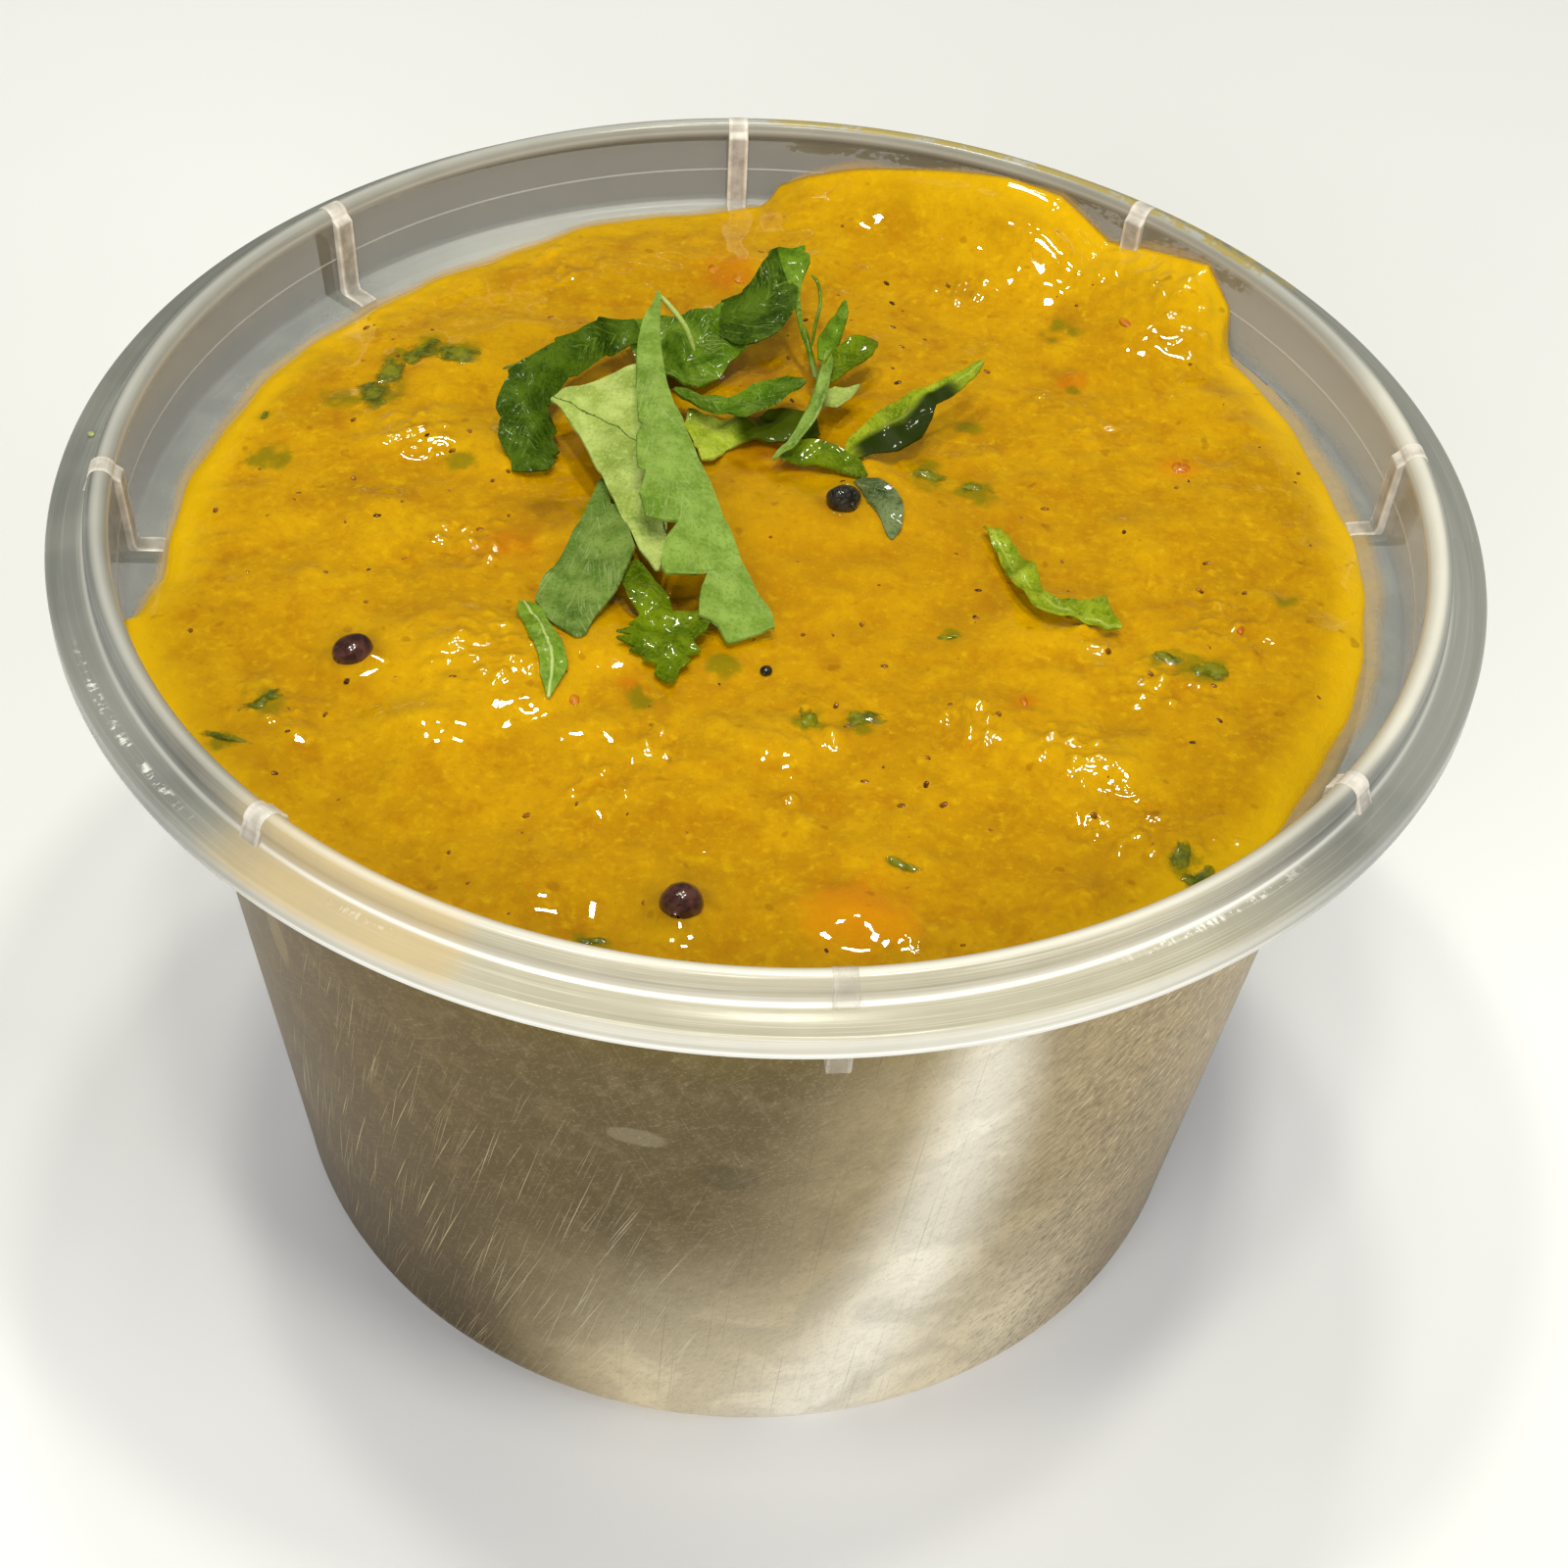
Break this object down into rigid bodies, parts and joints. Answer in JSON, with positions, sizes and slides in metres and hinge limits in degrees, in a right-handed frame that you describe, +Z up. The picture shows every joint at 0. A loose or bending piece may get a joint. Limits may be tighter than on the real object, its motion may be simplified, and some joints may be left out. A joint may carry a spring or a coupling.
{
  "type": "dal tadka in a takeaway tub",
  "caption": "Thick yellow lentil dal in a translucent takeaway tub that stands in a plain steel cup, topped with shredded coriander leaves.",
  "frame": {"origin": "centre of the steel cup's flat base", "axes": "+Z up; +Y towards the back, where the dal climbs the tub's wall; +X to the viewer's right"},
  "size_m": [0.1192, 0.1192, 0.0765],
  "materials": {
    "steel": "worn brushed stainless steel with diagonal scratches",
    "tub_plastic": "thin translucent polypropylene, faintly hazy",
    "dal": "wet lumpy yellow lentil paste with specks",
    "leaf_fresh": "fresh coriander leaf, upper face",
    "leaf_pale": "coriander leaf, pale matt underside",
    "leaf_deep": "dark wet coriander leaf"
  },
  "bodies": {
    "root": {"steel_cup": "steel", "tub": "tub_plastic", "dal": "dal", "leaf_long": "leaf_fresh", "leaf_pale": "leaf_pale", "leaf_left": "leaf_fresh", "leaf_tip": "leaf_fresh", "leaf_lobed": "leaf_fresh", "leaf_curl": "leaf_deep", "leaf_back": "leaf_fresh", "leaf_peak": "leaf_deep", "leaf_hook": "leaf_fresh", "leaf_bow": "leaf_fresh", "leaf_under": "leaf_deep", "leaf_stem": "leaf_fresh", "leaflet_a": "leaf_fresh", "leaflet_b": "leaf_fresh", "leaflet_c": "leaf_pale", "leaf_fold": "leaf_deep", "leaf_step": "leaf_fresh", "leaf_wet": "leaf_deep", "leaf_lone": "leaf_fresh"}
  },
  "joints": []
}
